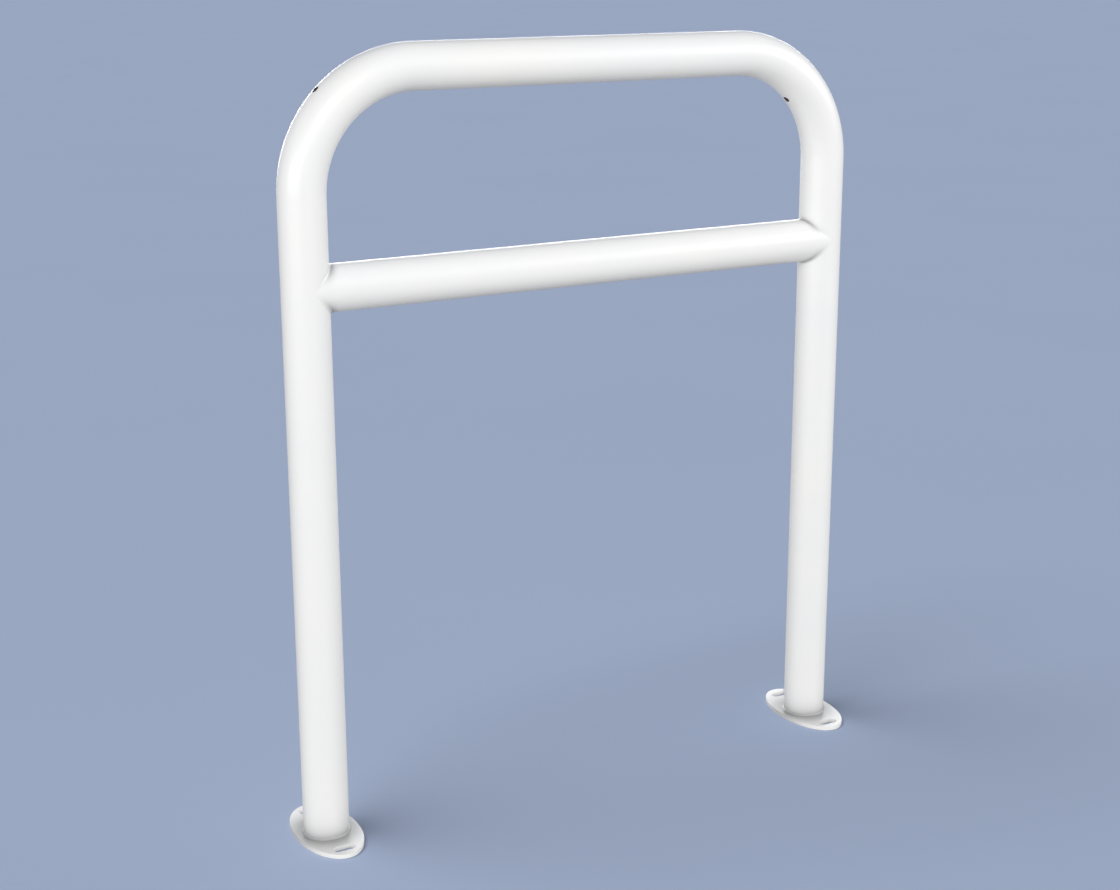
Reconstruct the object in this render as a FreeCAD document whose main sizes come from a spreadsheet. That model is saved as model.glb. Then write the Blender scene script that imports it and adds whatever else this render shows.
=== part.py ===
import FreeCAD, Part
import math
import os

import Sketcher

# Hoop bike rack: one bent tube makes both legs and the top, a straight rail joins the legs,
# and each leg stands on an oval plate with two anchor slots. All of it is welded.
# The origin is on the ground midway between the legs. X runs along the hoop and +Z is up.

# Driving dimensions, in millimetres
drivingSizes = {
    "tube_diameter": 50.0,  # outside of the tube that the hoop and the rail are cut from
    "tube_wall": 3.0,
    "overall_height": 852.0,  # ground to the top of the hoop
    "leg_spacing": 650.0,  # centre to centre of the legs
    "bend_radius": 125.0,  # to the tube's centreline
    "rail_drop": 220.0,  # centre of the top tube down to the centre of the rail
    "plate_length": 130.0,  # across the hoop
    "plate_width": 70.0,  # along the hoop
    "plate_thickness": 5.0,
    "plate_edge_round": 0.5,  # top edges of the plate and of its slots
    "slot_spacing": 100.0,  # centre to centre of one plate's two slots
    "slot_length": 25.0,  # end to end
    "slot_width": 11.0,
    "drain_diameter": 16.0,  # hole in the plate that drains the leg
    "bend_hole_diameter": 8.0,  # through both walls at the middle of each bend
    "rail_vent_diameter": 12.0,  # hole in the leg that opens into the rail
    "weld_size": 2.0,  # leg length of the weld beads
}

# Expressions that several sub-parts share
tubeRadius = "Sizes.tube_diameter / 2"
boreDiameter = "Sizes.tube_diameter - 2 * Sizes.tube_wall"
legOffset = "Sizes.leg_spacing / 2"
topAxisHeight = "(Sizes.overall_height - Sizes.tube_diameter / 2)"
bendCentreHeight = topAxisHeight + " - Sizes.bend_radius"
bendCentreOffset = "(Sizes.leg_spacing / 2 - Sizes.bend_radius)"
railAxisHeight = topAxisHeight + " - Sizes.rail_drop"
cutterLength = "3 * Sizes.tube_diameter"  # reaches well past a tube on both sides
cutterStart = "-1.5 * Sizes.tube_diameter"

# The sketcher's numbers for an item's points, and for the origin and axes of every sketch
startPoint, endPoint, centrePoint = range(1, 4)
originItem = -1
horizontalAxis = -1
verticalAxis = horizontalAxis - 1

alongY = FreeCAD.Vector(0, 1, 0)
alongZ = FreeCAD.Vector(0, 0, 1)
origin = FreeCAD.Vector(0, 0, 0)
unturned = FreeCAD.Rotation()
quarterTurn = 90  # degrees
bendMiddle = 45  # degrees, half of a square bend
saddleSlope = 45  # degrees, the joint's plane where two equal tubes cross square
leftSide, rightSide = -1, 1
closeEnough = 0.001  # millimetres, or cubic millimetres, that count as no difference

doc = FreeCAD.newDocument("HoopBikeRack")
sheet = doc.addObject("Spreadsheet::Sheet", "Sizes")
for row, (sizeName, sizeValue) in enumerate(drivingSizes.items(), start=1):
    sheet.set("A%d" % row, sizeName)
    sheet.set("B%d" % row, str(sizeValue))
    sheet.setAlias("B%d" % row, sizeName)
doc.recompute()


def value(expression):
    return float(sheet.evalExpression(expression))


def onSide(side, expression):
    return "%d * %s" % (side, expression)


# Bodies, and how a sketch or a cutter sits in its body


def newBody(name, offsets=None, turn=unturned):
    body = doc.addObject("PartDesign::Body", name)
    body.Label = name
    body.Placement = FreeCAD.Placement(origin, turn)
    for axis, expression in (offsets or {}).items():
        body.setExpression("Placement.Base." + axis, expression)
    return body


def originPlane(body, role):
    return [feature for feature in body.Origin.OriginFeatures if feature.Role == role][0]


def attach(item, body, role, offsets=None, turn=unturned):
    item.AttachmentSupport = [(originPlane(body, role), "")]
    item.MapMode = "FlatFace"
    item.AttachmentOffset = FreeCAD.Placement(origin, turn)
    for axis, expression in (offsets or {}).items():
        item.setExpression("AttachmentOffset.Base." + axis, expression)


def newSketch(body, name, role, offsets=None, turn=unturned):
    sketch = body.newObject("Sketcher::SketchObject", name)
    attach(sketch, body, role, offsets, turn)
    return sketch


def padSketch(body, name, sketch, length, sideType="One side"):
    pad = body.newObject("PartDesign::Pad", name)
    pad.Profile = sketch
    pad.SideType = sideType
    pad.setExpression("Length", length)


def cutSketchUpwards(body, name, sketch):
    pocket = body.newObject("PartDesign::Pocket", name)
    pocket.Profile = sketch
    pocket.Type = "ThroughAll"
    pocket.Reversed = True
    return pocket


def cutCylinder(body, name, role, radius, length, offsets=None, turn=unturned):
    cutter = body.newObject("PartDesign::SubtractiveCylinder", name)
    attach(cutter, body, role, offsets, turn)
    cutter.setExpression("Radius", radius)
    cutter.setExpression("Height", length)


def mirrored(body, name, role):
    mirror = body.newObject("PartDesign::Mirrored", name)
    mirror.MirrorPlane = (originPlane(body, role), [""])
    body.Tip = mirror
    return mirror


# Sketch geometry with its constraints


def at(x, y):
    return FreeCAD.Vector(x, y, 0)


def relate(sketch, kind, *items):
    return sketch.addConstraint(Sketcher.Constraint(kind, *items))


def dimension(sketch, label, expression, kind, *items):
    index = relate(sketch, kind, *items, value(expression))
    sketch.renameConstraint(index, label)
    sketch.setExpression("Constraints." + label, expression)


def drawLine(sketch, start, end):
    return sketch.addGeometry(Part.LineSegment(start, end), False)


def drawArc(sketch, centre, radius, startAngle, endAngle):
    circle = Part.Circle(centre, alongZ, radius)
    arc = Part.ArcOfCircle(circle, math.radians(startAngle), math.radians(endAngle))
    return sketch.addGeometry(arc, False)


def drawCircle(sketch, label, diameter):
    circle = Part.Circle(origin, alongZ, value(diameter) / 2)
    index = sketch.addGeometry(circle, False)
    relate(sketch, "Coincident", index, centrePoint, originItem, startPoint)
    dimension(sketch, label, diameter, "Diameter", index)


def drawTubeSection(sketch):
    drawCircle(sketch, "outside", "Sizes.tube_diameter")
    drawCircle(sketch, "bore", boreDiameter)


def drawEllipse(sketch, longWay, acrossWay):
    # Its long way lies along the sketch's horizontal axis
    longEnd = at(value(longWay) / 2, 0)
    sideEnd = at(0, value(acrossWay) / 2)
    index = sketch.addGeometry(Part.Ellipse(longEnd, sideEnd, origin), False)
    sketch.exposeInternalGeometry(index)
    longLine, acrossLine = index + 1, index + 2
    relate(sketch, "Coincident", index, centrePoint, originItem, startPoint)
    relate(sketch, "Horizontal", longLine)
    dimension(sketch, "long_way", longWay, "Distance", longLine)
    dimension(sketch, "across", acrossWay, "Distance", acrossLine)


# Sub-parts


def makeHoopTube():
    body = newBody("hoop_tube")
    half = value(legOffset)
    foot = value("Sizes.plate_thickness")
    top = value(topAxisHeight)
    bend = value("Sizes.bend_radius")

    # Centreline: up the left leg, over the top, down the right leg
    centreline = newSketch(body, "HoopCentreline", "XZ_Plane")
    leftLeg = drawLine(centreline, at(-half, foot), at(-half, top - bend))
    leftBend = drawArc(centreline, at(bend - half, top - bend), bend, 90, 180)
    topRun = drawLine(centreline, at(bend - half, top), at(half - bend, top))
    rightBend = drawArc(centreline, at(half - bend, top - bend), bend, 0, 90)
    rightLeg = drawLine(centreline, at(half, top - bend), at(half, foot))
    relate(centreline, "Tangent", leftLeg, endPoint, leftBend, endPoint)
    relate(centreline, "Tangent", leftBend, startPoint, topRun, startPoint)
    relate(centreline, "Tangent", topRun, endPoint, rightBend, endPoint)
    relate(centreline, "Tangent", rightBend, startPoint, rightLeg, startPoint)
    relate(centreline, "Vertical", leftLeg)
    relate(centreline, "Horizontal", topRun)
    relate(centreline, "Vertical", rightLeg)
    relate(centreline, "Equal", leftBend, rightBend)
    relate(centreline, "Symmetric", leftLeg, startPoint, rightLeg, endPoint, verticalAxis)
    dimension(centreline, "spacing", "Sizes.leg_spacing",
              "DistanceX", leftLeg, startPoint, rightLeg, endPoint)
    dimension(centreline, "foot", "Sizes.plate_thickness",
              "DistanceY", originItem, startPoint, leftLeg, startPoint)
    dimension(centreline, "top", topAxisHeight,
              "DistanceY", originItem, startPoint, topRun, startPoint)
    dimension(centreline, "bend", "Sizes.bend_radius", "Radius", leftBend)

    section = newSketch(body, "HoopSection", "XY_Plane",
                        {"x": onSide(leftSide, legOffset), "z": "Sizes.plate_thickness"})
    drawTubeSection(section)
    pipe = body.newObject("PartDesign::AdditivePipe", "HoopPipe")
    pipe.Profile = section
    pipe.Spine = centreline

    for side, word in ((leftSide, "Left"), (rightSide, "Right")):
        # Drilled outwards from the bend's centre
        cutCylinder(body, word + "BendHole", "XY_Plane", "Sizes.bend_hole_diameter / 2",
                    "Sizes.bend_radius + Sizes.tube_diameter",
                    {"x": onSide(side, bendCentreOffset), "z": bendCentreHeight},
                    FreeCAD.Rotation(alongY, side * bendMiddle))
        # Drilled inwards from the leg's centre, through the wall that the rail covers
        cutCylinder(body, word + "RailVent", "XY_Plane", "Sizes.rail_vent_diameter / 2",
                    "Sizes.tube_diameter",
                    {"x": onSide(side, legOffset), "z": railAxisHeight},
                    FreeCAD.Rotation(alongY, -side * quarterTurn))
    return body


def makeCrossRail():
    body = newBody("cross_rail", {"z": railAxisHeight})
    section = newSketch(body, "RailSection", "YZ_Plane")
    drawTubeSection(section)
    padSketch(body, "RailBlank", section, "Sizes.leg_spacing", "Symmetric")
    for side, word in ((leftSide, "Left"), (rightSide, "Right")):
        cutCylinder(body, word + "Saddle", "XY_Plane", tubeRadius, cutterLength,
                    {"x": onSide(side, legOffset), "z": cutterStart})
    return body


def makeBasePlate(name, side):
    body = newBody(name, {"x": onSide(side, legOffset)})
    outline = newSketch(body, name + "_outline", "XY_Plane",
                        turn=FreeCAD.Rotation(alongZ, quarterTurn))
    drawEllipse(outline, "Sizes.plate_length", "Sizes.plate_width")
    padSketch(body, name + "_blank", outline, "Sizes.plate_thickness")

    # One slot along X, and its twin on the other side of the leg
    radius = value("Sizes.slot_width / 2")
    reach = value("(Sizes.slot_length - Sizes.slot_width) / 2")
    place = value("Sizes.slot_spacing / 2")
    slot = newSketch(body, name + "_slot", "XY_Plane")
    upper = drawLine(slot, at(-reach, place + radius), at(reach, place + radius))
    leftEnd = drawArc(slot, at(-reach, place), radius, 90, 270)
    lower = drawLine(slot, at(-reach, place - radius), at(reach, place - radius))
    rightEnd = drawArc(slot, at(reach, place), radius, 270, 450)
    relate(slot, "Tangent", upper, startPoint, leftEnd, startPoint)
    relate(slot, "Tangent", leftEnd, endPoint, lower, startPoint)
    relate(slot, "Tangent", lower, endPoint, rightEnd, startPoint)
    relate(slot, "Tangent", rightEnd, endPoint, upper, endPoint)
    relate(slot, "Equal", leftEnd, rightEnd)
    relate(slot, "Symmetric", leftEnd, centrePoint, rightEnd, centrePoint, verticalAxis)
    dimension(slot, "width", "Sizes.slot_width", "Diameter", leftEnd)
    dimension(slot, "reach", "Sizes.slot_length - Sizes.slot_width",
              "DistanceX", leftEnd, centrePoint, rightEnd, centrePoint)
    dimension(slot, "place", "Sizes.slot_spacing / 2",
              "DistanceY", originItem, startPoint, leftEnd, centrePoint)
    slotCut = cutSketchUpwards(body, name + "_slot_cut", slot)
    bothSlots = mirrored(body, name + "_both_slots", "XZ_Plane")
    bothSlots.Originals = [slotCut]
    doc.recompute()

    # The edges of the top face, before the drain hole adds one that the leg covers
    topHeight = value("Sizes.plate_thickness")
    topEdges = ["Edge%d" % number for number, edge in enumerate(bothSlots.Shape.Edges, start=1)
                if edge.BoundBox.ZMin > topHeight - closeEnough]
    rounding = body.newObject("PartDesign::Fillet", name + "_rounding")
    rounding.Base = (bothSlots, topEdges)
    rounding.setExpression("Radius", "Sizes.plate_edge_round")

    drain = newSketch(body, name + "_drain", "XY_Plane")
    drawCircle(drain, "drain", "Sizes.drain_diameter")
    cutSketchUpwards(body, name + "_drain_cut", drain)
    return body


def makeFootWeld(name, side):
    body = newBody(name, {"x": onSide(side, legOffset), "z": "Sizes.plate_thickness"})
    radius = value(tubeRadius)
    weld = value("Sizes.weld_size")
    bead = newSketch(body, name + "_section", "XZ_Plane")
    onPlate = drawLine(bead, at(radius, 0), at(radius + weld, 0))
    face = drawLine(bead, at(radius + weld, 0), at(radius, weld))
    onLeg = drawLine(bead, at(radius, weld), at(radius, 0))
    relate(bead, "Coincident", onPlate, endPoint, face, startPoint)
    relate(bead, "Coincident", face, endPoint, onLeg, startPoint)
    relate(bead, "Coincident", onLeg, endPoint, onPlate, startPoint)
    relate(bead, "PointOnObject", onPlate, startPoint, horizontalAxis)
    relate(bead, "Horizontal", onPlate)
    relate(bead, "Vertical", onLeg)
    relate(bead, "Equal", onPlate, onLeg)
    dimension(bead, "root", tubeRadius, "DistanceX", originItem, startPoint, onPlate, startPoint)
    dimension(bead, "leg", "Sizes.weld_size", "Distance", onLeg)
    ring = body.newObject("PartDesign::Revolution", name + "_ring")
    ring.Profile = bead
    ring.ReferenceAxis = (bead, ["V_Axis"])
    return body


def makeRailWeld(name, side):
    # Two equal tubes that cross square meet in two sloping ellipses. A bead's flat face lies
    # on an elliptic cylinder that stands just outside one of them at the crotch and dips just
    # under the tubes at their sides.
    body = newBody(name, {"x": onSide(side, legOffset), "z": railAxisHeight})
    face = newSketch(body, name + "_face", "XY_Plane",
                     turn=FreeCAD.Rotation(alongY, side * saddleSlope))
    drawEllipse(face, "sqrt(2) * (Sizes.tube_diameter + Sizes.weld_size)",
                "Sizes.tube_diameter - 2 * Sizes.weld_size ^ 2 / Sizes.tube_diameter")
    padSketch(body, name + "_blank", face, "2 * Sizes.weld_size", "Symmetric")

    # Away goes what lies beyond the leg's centre, and then what lies inside the two tubes
    beyond = body.newObject("PartDesign::SubtractiveBox", name + "_beyond")
    beyondStart = "-" + cutterLength if side == leftSide else "0 mm"
    attach(beyond, body, "XY_Plane", {"x": beyondStart, "y": cutterStart, "z": cutterStart})
    for way in ("Length", "Width", "Height"):
        beyond.setExpression(way, cutterLength)
    cutCylinder(body, name + "_leg", "XY_Plane", tubeRadius, cutterLength, {"z": cutterStart})
    cutCylinder(body, name + "_rail", "YZ_Plane", tubeRadius, cutterLength, {"z": cutterStart})
    doc.recompute()

    # The lower bead mirrors the upper one
    bothBeads = mirrored(body, name + "_both_beads", "XY_Plane")
    bothBeads.TransformMode = "Whole shape"
    return body


subParts = [makeHoopTube(), makeCrossRail()]
for side, word in ((leftSide, "left"), (rightSide, "right")):
    subParts.append(makeBasePlate(word + "_base_plate", side))
    subParts.append(makeFootWeld(word + "_foot_weld", side))
    subParts.append(makeRailWeld(word + "_rail_weld", side))
doc.recompute()

# Every object has to be sound, and every feature has to change its body, before any is written
for item in doc.Objects:
    if "Invalid" in item.State or "Error" in item.State:
        raise RuntimeError("%s failed" % item.Label)
    before = getattr(item, "BaseFeature", None)
    if before is not None and abs(item.Shape.Volume - before.Shape.Volume) < closeEnough:
        raise RuntimeError("%s changes nothing" % item.Label)
for body in subParts:
    if body.Shape.isNull() or not body.Shape.isValid():
        raise RuntimeError("%s has no sound shape" % body.Label)

os.makedirs("parts", exist_ok=True)
for body in subParts:
    body.Shape.exportStep("parts/%s.step" % body.Label)
    print("%s: %d solid(s), %.0f mm3" % (body.Label, len(body.Shape.Solids), body.Shape.Volume))
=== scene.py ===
import math

import bpy
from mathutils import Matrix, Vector


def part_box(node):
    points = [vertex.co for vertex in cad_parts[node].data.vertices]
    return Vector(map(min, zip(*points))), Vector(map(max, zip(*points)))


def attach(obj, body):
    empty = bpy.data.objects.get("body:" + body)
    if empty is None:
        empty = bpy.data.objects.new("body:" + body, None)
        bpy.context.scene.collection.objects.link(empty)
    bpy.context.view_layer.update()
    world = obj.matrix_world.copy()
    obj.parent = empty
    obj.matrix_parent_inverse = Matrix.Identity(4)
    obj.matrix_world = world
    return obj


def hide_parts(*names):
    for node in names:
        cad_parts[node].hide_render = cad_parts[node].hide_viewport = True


# Hoop bike rack: a bent tube on two oval plates, with a cross rail between the legs.
# Everything is white powder coat over steel. Metres, Z up, the hoop lies along X.

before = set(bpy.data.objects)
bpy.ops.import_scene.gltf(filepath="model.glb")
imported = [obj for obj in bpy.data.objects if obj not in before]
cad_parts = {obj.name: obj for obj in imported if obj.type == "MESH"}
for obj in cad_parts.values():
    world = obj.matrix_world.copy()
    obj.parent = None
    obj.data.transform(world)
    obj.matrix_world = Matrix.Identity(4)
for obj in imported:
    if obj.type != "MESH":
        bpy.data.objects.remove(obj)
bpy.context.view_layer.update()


def tidy(size):
    return round(size, 5)  # to 0.01 mm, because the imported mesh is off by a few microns


# Main sizes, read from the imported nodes
hoopLow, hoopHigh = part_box("hoop_tube")
railLow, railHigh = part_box("cross_rail")
plateLow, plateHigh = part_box("right_base_plate")

tubeRadius = tidy((railHigh.z - railLow.z) / 2)
railHeight = tidy((railHigh.z + railLow.z) / 2)
legOffset = tidy((plateHigh.x + plateLow.x) / 2)
plateTop = tidy(hoopLow.z)
topAxis = tidy(hoopHigh.z) - tubeRadius
sides = {"left": -1, "right": 1}

print("frame loaded, tube radius", tubeRadius, "rail at", railHeight, "legs at", legOffset)


# Small tools that every piece uses

holeFacets = 48  # sides of a drilled or cut round
samePoint = 1e-6  # points nearer than this are one
sameCutPoint = 1e-5  # the same along the edge of a drilled hole


def deselectAll():
    bpy.ops.object.select_all(action="DESELECT")


def pick(piece):
    deselectAll()
    piece.select_set(True)
    bpy.context.view_layer.objects.active = piece


def editAll(piece):
    pick(piece)
    bpy.ops.object.mode_set(mode="EDIT")
    bpy.ops.mesh.select_all(action="SELECT")


def leaveEdit():
    bpy.ops.object.mode_set(mode="OBJECT")


def named(name):
    piece = bpy.context.object
    piece.name = piece.data.name = name
    bpy.ops.object.transform_apply(location=True, rotation=True, scale=True)
    return piece


def extrudeBy(way):
    bpy.ops.mesh.extrude_region_move(TRANSFORM_OT_translate={"value": way})


def applyModifiers(piece):
    pick(piece)
    for modifier in list(piece.modifiers):
        bpy.ops.object.modifier_apply(modifier=modifier.name)


def mergeAndFaceOutwards(piece):
    editAll(piece)
    bpy.ops.mesh.remove_doubles(threshold=samePoint)
    bpy.ops.mesh.normals_make_consistent(inside=False)
    leaveEdit()


def mergeCutPoints(piece):
    # A cut leaves twin points where a hole's edge meets the lines of the mesh
    editAll(piece)
    bpy.ops.mesh.remove_doubles(threshold=sameCutPoint)
    bpy.ops.mesh.dissolve_degenerate(threshold=samePoint)
    leaveEdit()


def cutWith(piece, cutter):
    cut = piece.modifiers.new("cut", "BOOLEAN")
    cut.operation = "DIFFERENCE"
    cut.solver = "EXACT"
    cut.material_mode = "TRANSFER"  # the hole's wall gets the cutter's finish
    cut.object = cutter
    applyModifiers(piece)
    bpy.data.objects.remove(cutter)


def drill(piece, place, direction, diameter, length, wallFinish):
    deselectAll()
    turn = direction.to_track_quat("Z", "Y").to_euler()
    bpy.ops.mesh.primitive_cylinder_add(vertices=holeFacets, radius=diameter / 2,
                                        depth=length, location=place, rotation=turn)
    bit = named("drillBit")
    bit.data.materials.append(wallFinish)
    cutWith(piece, bit)


def smooth(piece, angle=35):
    pick(piece)
    bpy.ops.object.shade_smooth_by_angle(angle=math.radians(angle))


# Finishes

noiseSpread = (0.3, 0.7)  # most of a noise lies between these


def newMaterial(name):
    material = bpy.data.materials.new(name)
    material.use_nodes = True
    return material, material.node_tree.nodes, material.node_tree.links


def addNoise(nodes, links, scale, detail):
    place = nodes.new("ShaderNodeTexCoord")
    noise = nodes.new("ShaderNodeTexNoise")
    noise.inputs["Scale"].default_value = scale
    noise.inputs["Detail"].default_value = detail
    links.new(place.outputs["Object"], noise.inputs["Vector"])
    return noise.outputs["Fac"]


def addRange(nodes, links, noise, low, high):
    spread = nodes.new("ShaderNodeMapRange")
    spread.inputs["From Min"].default_value = noiseSpread[0]
    spread.inputs["From Max"].default_value = noiseSpread[1]
    spread.inputs["To Min"].default_value = low
    spread.inputs["To Max"].default_value = high
    links.new(noise, spread.inputs["Value"])
    return spread.outputs["Result"]


def fill(links, socket, value):
    if isinstance(value, bpy.types.NodeSocket):
        links.new(value, socket)
    else:
        socket.default_value = value


def addBlend(nodes, links, share, first, second):
    blend = nodes.new("ShaderNodeMix")
    blend.data_type = "RGBA"
    fill(links, blend.inputs["Factor"], share)
    fill(links, blend.inputs["A"], first)
    fill(links, blend.inputs["B"], second)
    return blend.outputs["Result"]


def addMath(nodes, links, operation, *values):
    step = nodes.new("ShaderNodeMath")
    step.operation = operation
    for socket, value in zip(step.inputs, values):
        fill(links, socket, value)
    return step.outputs["Value"]


def addDistance(nodes, links, *parts):
    joined = nodes.new("ShaderNodeCombineXYZ")
    for socket, part in zip(joined.inputs, parts):
        links.new(part, socket)
    length = nodes.new("ShaderNodeVectorMath")
    length.operation = "LENGTH"
    links.new(joined.outputs["Vector"], length.inputs["Vector"])
    return length.outputs["Value"]


def addBump(nodes, links, height, depth, strength, under=None):
    bump = nodes.new("ShaderNodeBump")
    bump.inputs["Distance"].default_value = depth
    bump.inputs["Strength"].default_value = strength
    links.new(height, bump.inputs["Height"])
    if under:
        links.new(under, bump.inputs["Normal"])
    return bump.outputs["Normal"]


coatLook = {
    "colour": (0.835, 0.838, 0.84, 1),
    "warmerColour": (0.855, 0.85, 0.838, 1),  # where the coat lies a little thicker
    "patchScale": 9,
    "ior": 1.5,
    "smoothest": 0.32,
    "roughest": 0.4,
    "glossScale": 36,
    "peelScale": 620,  # orange peel, about 1.5 mm from dimple to dimple
    "peelDepth": 0.00004,
    "peelStrength": 0.6,
    "grainScale": 2600,
    "grainDepth": 0.000008,
    "grainStrength": 0.5,
    "paintedShadeColour": (0.26, 0.26, 0.26, 1),  # painted shade: the colour the coat darkens to in the corners at the feet and the rail's ends
    "footShade": 0.85,
    "footReach": (0.018, 0.009),  # how far the shade fades along the plate, and up the leg
    "railShade": 0.88,
    "railReach": (0.0055, 0.0015),  # the same along the rail, and along the leg
    "railSideFade": 4,  # an even number: the higher, the later the rail's shade fades sideways
}


def addCreaseShade(nodes, links):
    # Painted shade: from 0 on open faces to the shades above in the corners at the feet and at the
    # rail's ends
    look = coatLook
    place = nodes.new("ShaderNodeTexCoord")
    parts = nodes.new("ShaderNodeSeparateXYZ")
    links.new(place.outputs["Object"], parts.inputs["Vector"])
    x, y, z = parts.outputs
    outwards = addMath(nodes, links, "SUBTRACT", addMath(nodes, links, "ABSOLUTE", x), legOffset)
    offLeg = addMath(nodes, links, "SUBTRACT", addDistance(nodes, links, outwards, y), tubeRadius)
    offPlate = addMath(nodes, links, "SUBTRACT", z, plateTop)
    overRail = addMath(nodes, links, "SUBTRACT", z, railHeight)
    offRail = addMath(nodes, links, "SUBTRACT", addDistance(nodes, links, y, overRail), tubeRadius)

    def cornerShade(offOther, reach, shade):
        # Even near the leg and soon gone further out, but a steady fade along the leg
        along = addMath(nodes, links, "DIVIDE", offLeg, reach[0])
        gap = addDistance(nodes, links, addMath(nodes, links, "MULTIPLY", along, along),
                          addMath(nodes, links, "DIVIDE", offOther, reach[1]))
        fade = addMath(nodes, links, "EXPONENT", addMath(nodes, links, "MULTIPLY", gap, -1))
        return addMath(nodes, links, "MULTIPLY", fade, shade)

    foot = cornerShade(offPlate, look["footReach"], look["footShade"])
    rail = cornerShade(offRail, look["railReach"], look["railShade"])
    # The tubes run into each other smoothly at their sides, so the rail's corner fades there
    inwards = addMath(nodes, links, "DIVIDE", outwards, -tubeRadius)
    sideways = addMath(nodes, links, "POWER", addMath(nodes, links, "DIVIDE", y, tubeRadius),
                       look["railSideFade"])
    steepness = addMath(nodes, links, "SUBTRACT", 1, sideways)
    for limit in (inwards, steepness):
        limit.node.use_clamp = True
        rail = addMath(nodes, links, "MULTIPLY", rail, limit)
    return addMath(nodes, links, "MAXIMUM", foot, rail)


def makePowderCoat():
    look = coatLook
    material, nodes, links = newMaterial("whitePowderCoat")
    shader = nodes["Principled BSDF"]
    shader.inputs["IOR"].default_value = look["ior"]
    patches = addNoise(nodes, links, look["patchScale"], detail=3)
    colour = addBlend(nodes, links, addRange(nodes, links, patches, 0, 1),
                      look["colour"], look["warmerColour"])
    # Painted shade darkens the base colour in the corners at the feet and at the rail's ends
    colour = addBlend(nodes, links, addCreaseShade(nodes, links), colour, look["paintedShadeColour"])
    links.new(colour, shader.inputs["Base Color"])
    gloss = addNoise(nodes, links, look["glossScale"], detail=4)
    links.new(addRange(nodes, links, gloss, look["smoothest"], look["roughest"]),
              shader.inputs["Roughness"])
    peel = addNoise(nodes, links, look["peelScale"], detail=2)
    grain = addNoise(nodes, links, look["grainScale"], detail=2)
    fine = addBump(nodes, links, grain, look["grainDepth"], look["grainStrength"])
    links.new(addBump(nodes, links, peel, look["peelDepth"], look["peelStrength"], fine),
              shader.inputs["Normal"])
    return material


boreLook = {
    "steel": (0.10, 0.095, 0.09, 1),
    "rust": (0.13, 0.07, 0.04, 1),
    "patchScale": 60,
    "metallic": 0.6,
    "smoothest": 0.55,
    "roughest": 0.8,
}


def makeBareSteel():
    look = boreLook
    material, nodes, links = newMaterial("bareSteelBore")
    shader = nodes["Principled BSDF"]
    shader.inputs["Metallic"].default_value = look["metallic"]
    patches = addNoise(nodes, links, look["patchScale"], detail=5)
    links.new(addBlend(nodes, links, addRange(nodes, links, patches, 0, 1),
                       look["steel"], look["rust"]), shader.inputs["Base Color"])
    links.new(addRange(nodes, links, patches, look["smoothest"], look["roughest"]),
              shader.inputs["Roughness"])
    return material


powderCoat = makePowderCoat()
bareSteel = makeBareSteel()
print("finishes made")


def finish(piece, *nodes):
    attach(piece, "root")
    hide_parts(*nodes)


# Tubes

tube = {
    "facets": 96,
    "wall": 0.003,
    "bendRadius": 0.125,
    "bendSteps": 40,
    "bendHole": 0.008,  # right through the middle of each bend
    "railVent": 0.012,  # in each leg, behind the rail's end
}


def addRing(name, place, turn=(0, 0, 0)):
    deselectAll()
    bpy.ops.mesh.primitive_circle_add(vertices=tube["facets"], radius=tubeRadius,
                                      location=place, rotation=turn)
    return named(name)


def spinBend(across, up):
    bpy.ops.mesh.spin(steps=tube["bendSteps"], angle=math.pi / 2, axis=(0, -1, 0),
                      center=(across, 0, up))


def giveWall(piece):
    piece.data.materials.append(powderCoat)
    piece.data.materials.append(bareSteel)
    wall = piece.modifiers.new("wall", "SOLIDIFY")
    wall.thickness = tube["wall"]
    wall.offset = -1  # the wall goes inwards
    wall.material_offset = 1  # the inside is bare steel
    applyModifiers(piece)


def makeHoop():
    bend = tube["bendRadius"]
    bendAcross, bendUp = legOffset - bend, topAxis - bend
    legLength = bendUp - plateTop
    bothWalls = 4 * tubeRadius  # long enough to drill right through the tube
    hoop = addRing("hoopTube", (-legOffset, 0, plateTop))
    editAll(hoop)
    extrudeBy((0, 0, legLength))
    spinBend(-bendAcross, bendUp)
    extrudeBy((2 * bendAcross, 0, 0))
    spinBend(bendAcross, bendUp)
    extrudeBy((0, 0, -legLength))
    leaveEdit()
    mergeAndFaceOutwards(hoop)
    giveWall(hoop)
    for side in sides.values():
        outwards = Vector((side, 0, 1)).normalized()
        bendCentre = Vector((side * bendAcross, 0, bendUp))
        drill(hoop, bendCentre + outwards * bend, outwards, tube["bendHole"], bothWalls,
              bareSteel)
        behindRail = Vector((side * (legOffset - tubeRadius), 0, railHeight))
        drill(hoop, behindRail, Vector((1, 0, 0)), tube["railVent"], tubeRadius, bareSteel)
    mergeCutPoints(hoop)
    smooth(hoop)
    finish(hoop, "hoop_tube")


def makeRail():
    rail = addRing("crossRail", (-legOffset, 0, railHeight), (0, math.pi / 2, 0))
    editAll(rail)
    extrudeBy((2 * legOffset, 0, 0))
    leaveEdit()
    mergeAndFaceOutwards(rail)
    giveWall(rail)
    for vertex in rail.data.vertices:  # saddle ends, which follow the leg's round face
        reach = math.sqrt(max(tubeRadius ** 2 - vertex.co.y ** 2, 0))
        vertex.co.x = math.copysign(legOffset - reach, vertex.co.x)
    smooth(rail)
    finish(rail, "cross_rail")


makeHoop()
print("hoop bent and drilled")
makeRail()
print("rail cut to the legs")


# Weld beads: a grid is rolled into a bead and laid along its joint

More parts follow.
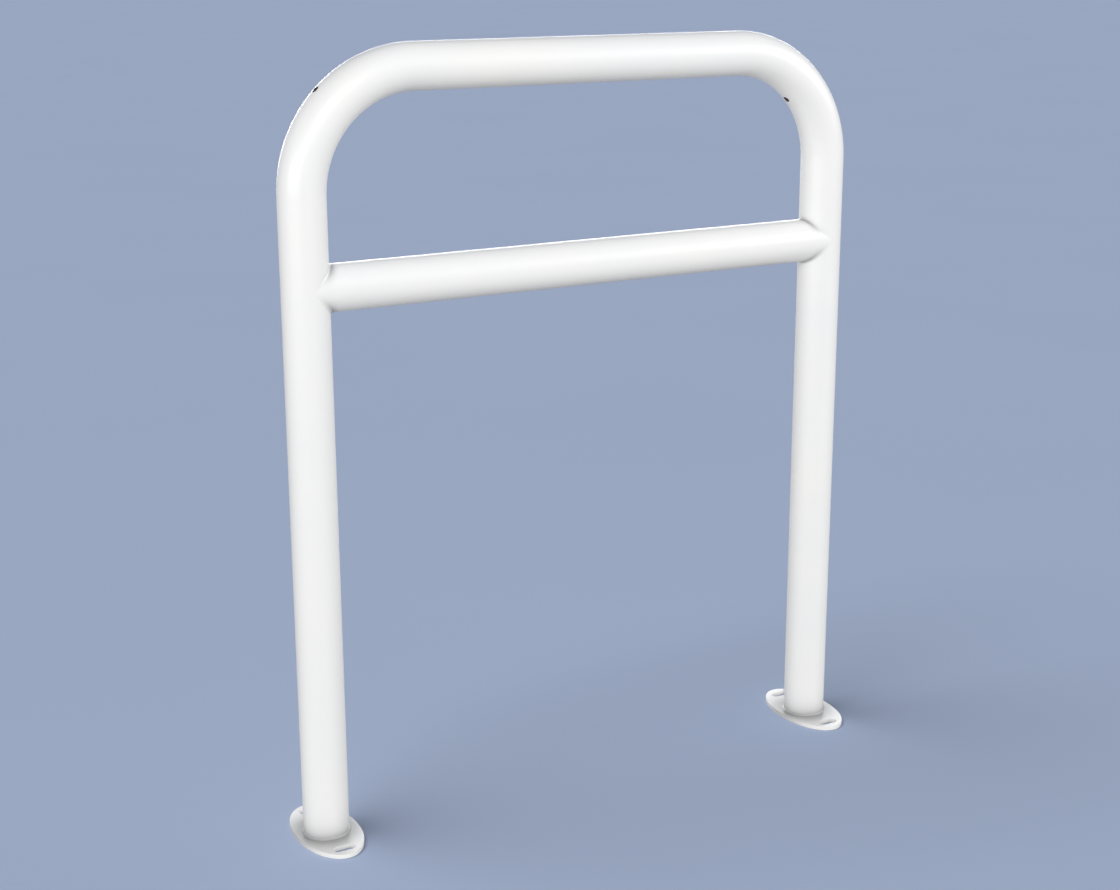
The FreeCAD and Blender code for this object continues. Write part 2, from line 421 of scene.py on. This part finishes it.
bead = {
    "size": 0.002,  # how far it reaches on each side of the corner
    "crown": 0.06,  # how much its face stands proud, as a share of the size
    "root": 0.15,  # how deep it goes into the tubes, as a share of the size
    "pitch": 0.0014,  # from ripple to ripple
    "rippleHeight": 0.000035,
    "rippleBow": 0.35,  # how far a ripple bows along the joint, as a share of the pitch
    "stepsPerRipple": 6,
    "faceSteps": 8,  # from one side of its face to the other
    "saddleReach": 80,  # degrees either side of the rail's top or bottom
    "saddleStretch": 1.2,  # how much longer the saddle is than the rail's round
    "endTaper": 6,  # the higher, the later a rail bead thins towards its ends
    "smoothAngle": 60,
}


def beadPoint(around, along, size):
    # How far the point is from the corner, along each of the two surfaces
    across = around / bead["faceSteps"]
    if across > 1:
        sunk = -bead["root"] * size
        return [(sunk, size), (sunk, sunk), (size, sunk)][around - bead["faceSteps"] - 1]
    hump = 4 * across * (1 - across)
    crescent = bead["rippleBow"] * hump
    ripple = bead["rippleHeight"] * math.cos(2 * math.pi * (along / bead["pitch"] - crescent))
    proud = hump * (bead["crown"] * size + ripple * size / bead["size"])
    return size * (1 - across) + proud, size * across + proud


def layBead(name, length, closed, placeOf):
    ripples = round(length / bead["pitch"])
    steps = ripples * bead["stepsPerRipple"]
    around = bead["faceSteps"] + 4  # with the face's last point and the three behind it
    deselectAll()
    bpy.ops.mesh.primitive_grid_add(x_subdivisions=steps, y_subdivisions=around, size=1)
    piece = named(name)
    for vertex in piece.data.vertices:
        share = vertex.co.x + 0.5
        if closed and share > 1 - 0.5 / steps:
            share = 0
        turn = round((vertex.co.y + 0.5) * around) % around
        vertex.co = placeOf(share, turn)
    mergeAndFaceOutwards(piece)
    return piece


def layFootBead(name, side):
    length = 2 * math.pi * (tubeRadius + bead["size"] / 2)
    pitches = round(length / bead["pitch"]) * bead["pitch"]

    def placeOf(share, turn):
        out, up = beadPoint(turn, share * pitches, bead["size"])
        angle = 2 * math.pi * share
        radius = tubeRadius + out
        return (side * legOffset + radius * math.cos(angle), radius * math.sin(angle),
                plateTop + up)

    return layBead(name, length, True, placeOf)


def layRailBead(name, side, upOrDown):
    reach = math.radians(bead["saddleReach"])
    length = 2 * reach * tubeRadius * bead["saddleStretch"]

    def placeOf(share, turn):
        swing = 2 * share - 1  # -1 at one end of the bead and 1 at the other
        angle = swing * reach
        size = bead["size"] * math.sqrt(max(1 - abs(swing) ** bead["endTaper"], 0))
        back, up = beadPoint(turn, share * length, size)
        corner = tubeRadius * math.cos(angle)
        return (side * (legOffset - corner - back), tubeRadius * math.sin(angle),
                railHeight + upOrDown * (corner + up))

    return layBead(name, length, False, placeOf)


def finishBead(piece, node):
    piece.data.materials.append(powderCoat)
    smooth(piece, bead["smoothAngle"])
    finish(piece, node)


for word, side in sides.items():
    footBead = layFootBead(word + "FootWeld", side)
    finishBead(footBead, word + "_foot_weld")
    upper = layRailBead(word + "RailWeld", side, 1)
    lower = layRailBead(word + "LowerBead", side, -1)
    pick(upper)
    lower.select_set(True)
    bpy.ops.object.join()
    finishBead(upper, word + "_rail_weld")
print("weld beads laid")


# Base plates

plate = {
    "length": tidy(plateHigh.y - plateLow.y),
    "width": tidy(plateHigh.x - plateLow.x),
    "thickness": plateTop,
    "facets": 160,
    "slotLength": 0.025,
    "slotWidth": 0.011,
    "slotSpacing": 0.1,
    "drain": 0.016,
    "cutterLength": 4 * plateTop,  # long enough to cut right through
    "rounding": 0.0005,
    "roundingSteps": 3,
    "roundingAngle": 40,  # edges sharper than this are rounded
}


def cutSlot(piece, place):
    half = (plate["slotLength"] - plate["slotWidth"]) / 2
    deselectAll()
    bpy.ops.mesh.primitive_cylinder_add(vertices=holeFacets, radius=plate["slotWidth"] / 2,
                                        depth=plate["cutterLength"],
                                        rotation=(0, 0, math.pi / holeFacets))
    cutter = named("slotCutter")
    cutter.data.materials.append(powderCoat)
    for vertex in cutter.data.vertices:  # half of the round goes each way
        vertex.co.x += math.copysign(half, vertex.co.x)
        vertex.co += place
    cutWith(piece, cutter)


def makePlate(word, side):
    middle = Vector((side * legOffset, 0, 0))
    deselectAll()
    bpy.ops.mesh.primitive_circle_add(vertices=plate["facets"], radius=0.5, fill_type="NGON",
                                      location=middle)
    piece = bpy.context.object
    piece.scale = (plate["width"], plate["length"], 1)  # the round is 1 m across
    piece = named(word + "BasePlate")
    piece.data.materials.append(powderCoat)
    editAll(piece)
    extrudeBy((0, 0, plate["thickness"]))
    leaveEdit()
    mergeAndFaceOutwards(piece)
    for end in (-1, 1):
        cutSlot(piece, middle + Vector((0, end * plate["slotSpacing"] / 2, 0)))
    drill(piece, middle, Vector((0, 0, 1)), plate["drain"], plate["cutterLength"], powderCoat)
    rounding = piece.modifiers.new("rounding", "BEVEL")
    rounding.width = plate["rounding"]
    rounding.segments = plate["roundingSteps"]
    rounding.limit_method = "ANGLE"
    rounding.angle_limit = math.radians(plate["roundingAngle"])
    applyModifiers(piece)
    smooth(piece)
    flat = piece.modifiers.new("flatFaces", "WEIGHTED_NORMAL")
    flat.keep_sharp = True
    applyModifiers(piece)
    finish(piece, word + "_base_plate")


for word, side in sides.items():
    makePlate(word, side)
print("base plates cut")


# Floor, lamps and camera

studio = {
    "floorColour": (0.36, 0.43, 0.59, 1),
    "floorBounce": (0.43, 0.43, 0.43, 1),  # the light that it throws back on the rack is neutral
    "floorSize": 90,
    "floorRoughness": 0.9,
    "floorSpecular": 0.1,
    "floorPatchScale": 1.2,
    "floorPatchLift": 1.02,  # how much lighter its lighter patches are
    "worldLight": (0.2, 0.2, 0.2, 1),
    "horizonColour": (0.32, 0.38, 0.515, 1),  # as the lit floor looks far away
    "target": (0, 0, 0.45),
    "panelHeight": 1 / 3,  # of each lamp, as a share of its distance
    "skyBearing": -100,  # the soft light from above that falls on the floor alone
    "skyHeight": 62,
    "skyDistance": 6,
    "skySpread": 50,
    "skyStrength": 2.4,
}

# Each lamp: bearing and height seen from the rack in degrees, distance and width in metres,
# and watts. The side lamp is further off, so that it lights both legs alike.
lamps = {
    "sideLamp": (-60, 8, 12, 12, 857),
    "frontLamp": (-20, 30, 6, 4, 132),
    "rightLamp": (60, 20, 6, 4, 197),
    "backLamp": (160, 8, 6, 6, 265),
}


def addSight(nodes, links):
    # 1 where the backdrop itself or its reflection is seen, 0 where it only throws light
    ray = nodes.new("ShaderNodeLightPath").outputs
    sight = addMath(nodes, links, "MAXIMUM", ray["Is Camera Ray"], ray["Is Glossy Ray"])
    return addMath(nodes, links, "MAXIMUM", sight, ray["Is Transmission Ray"])


def makeFloor():
    deselectAll()
    bpy.ops.mesh.primitive_plane_add(size=studio["floorSize"], location=(0, 0, 0))
    floor = named("floor")
    material, nodes, links = newMaterial("paleFloor")
    shader = nodes["Principled BSDF"]
    shader.inputs["Roughness"].default_value = studio["floorRoughness"]
    shader.inputs["Specular IOR Level"].default_value = studio["floorSpecular"]
    patches = addNoise(nodes, links, studio["floorPatchScale"], detail=3)
    colour = studio["floorColour"]
    lighter = [min(1, part * studio["floorPatchLift"]) for part in colour]
    seen = addBlend(nodes, links, addRange(nodes, links, patches, 0, 1), colour, lighter)
    links.new(addBlend(nodes, links, addSight(nodes, links), studio["floorBounce"], seen),
              shader.inputs["Base Color"])
    floor.data.materials.append(material)
    return floor


def makeWorld():
    world = bpy.data.worlds.new("studio")
    world.use_nodes = True
    nodes, links = world.node_tree.nodes, world.node_tree.links
    colour = addBlend(nodes, links, addSight(nodes, links), studio["worldLight"],
                      studio["horizonColour"])
    links.new(colour, nodes["Background"].inputs["Color"])
    bpy.context.scene.world = world


def addLamp(kind, name, bearing, height, distance):
    bearing, height = math.radians(bearing), math.radians(height)
    level = math.cos(height)
    away = Vector((math.sin(bearing) * level, -math.cos(bearing) * level, math.sin(height)))
    place = Vector(studio["target"]) + away * distance
    turn = away.to_track_quat("Z", "Y").to_euler()
    deselectAll()
    bpy.ops.object.light_add(type=kind, location=place, rotation=turn)
    lamp = bpy.context.object
    lamp.name = name
    return lamp


def keepTo(lamp, floor, link):
    # The lamp lights the floor alone (INCLUDE) or all but the floor (EXCLUDE)
    group = bpy.data.collections.new(lamp.name + "Lights")
    group.objects.link(floor)
    group.collection_objects[0].light_linking.link_state = link
    lamp.light_linking.receiver_collection = group


def makeLamps(floor):
    for name, (bearing, height, distance, width, watts) in lamps.items():
        lamp = addLamp("AREA", name, bearing, height, distance)
        lamp.data.shape = "RECTANGLE"
        lamp.data.size = width
        lamp.data.size_y = distance * studio["panelHeight"]
        lamp.data.energy = watts
        lamp.visible_camera = False
        keepTo(lamp, floor, "EXCLUDE")
    sky = addLamp("SUN", "softSky", studio["skyBearing"], studio["skyHeight"],
                  studio["skyDistance"])
    sky.data.angle = math.radians(studio["skySpread"])
    sky.data.energy = studio["skyStrength"]
    keepTo(sky, floor, "INCLUDE")


# Set so that the hoop's edges lie where the photo has them
camera = {
    "place": (-0.98946, -1.71364, 0.95885),
    "lookDown": 14.9914,
    "bearing": -29.9587,
    "lens": 58.43,
    "sensorWidth": 36,
    "shift": (-0.01873, -0.02356),
    "farthest": 200,
}


def makeCamera():
    turn = (math.radians(90 - camera["lookDown"]), 0, math.radians(camera["bearing"]))
    bpy.ops.object.camera_add(location=camera["place"], rotation=turn)
    eye = bpy.context.object
    eye.data.lens = camera["lens"]
    eye.data.sensor_width = camera["sensorWidth"]
    eye.data.shift_x, eye.data.shift_y = camera["shift"]
    eye.data.clip_end = camera["farthest"]
    bpy.context.scene.camera = eye


makeLamps(makeFloor())
makeWorld()
makeCamera()
bpy.context.scene.view_settings.view_transform = "Standard"
print("studio lit")

deselectAll()
bpy.context.view_layer.update()
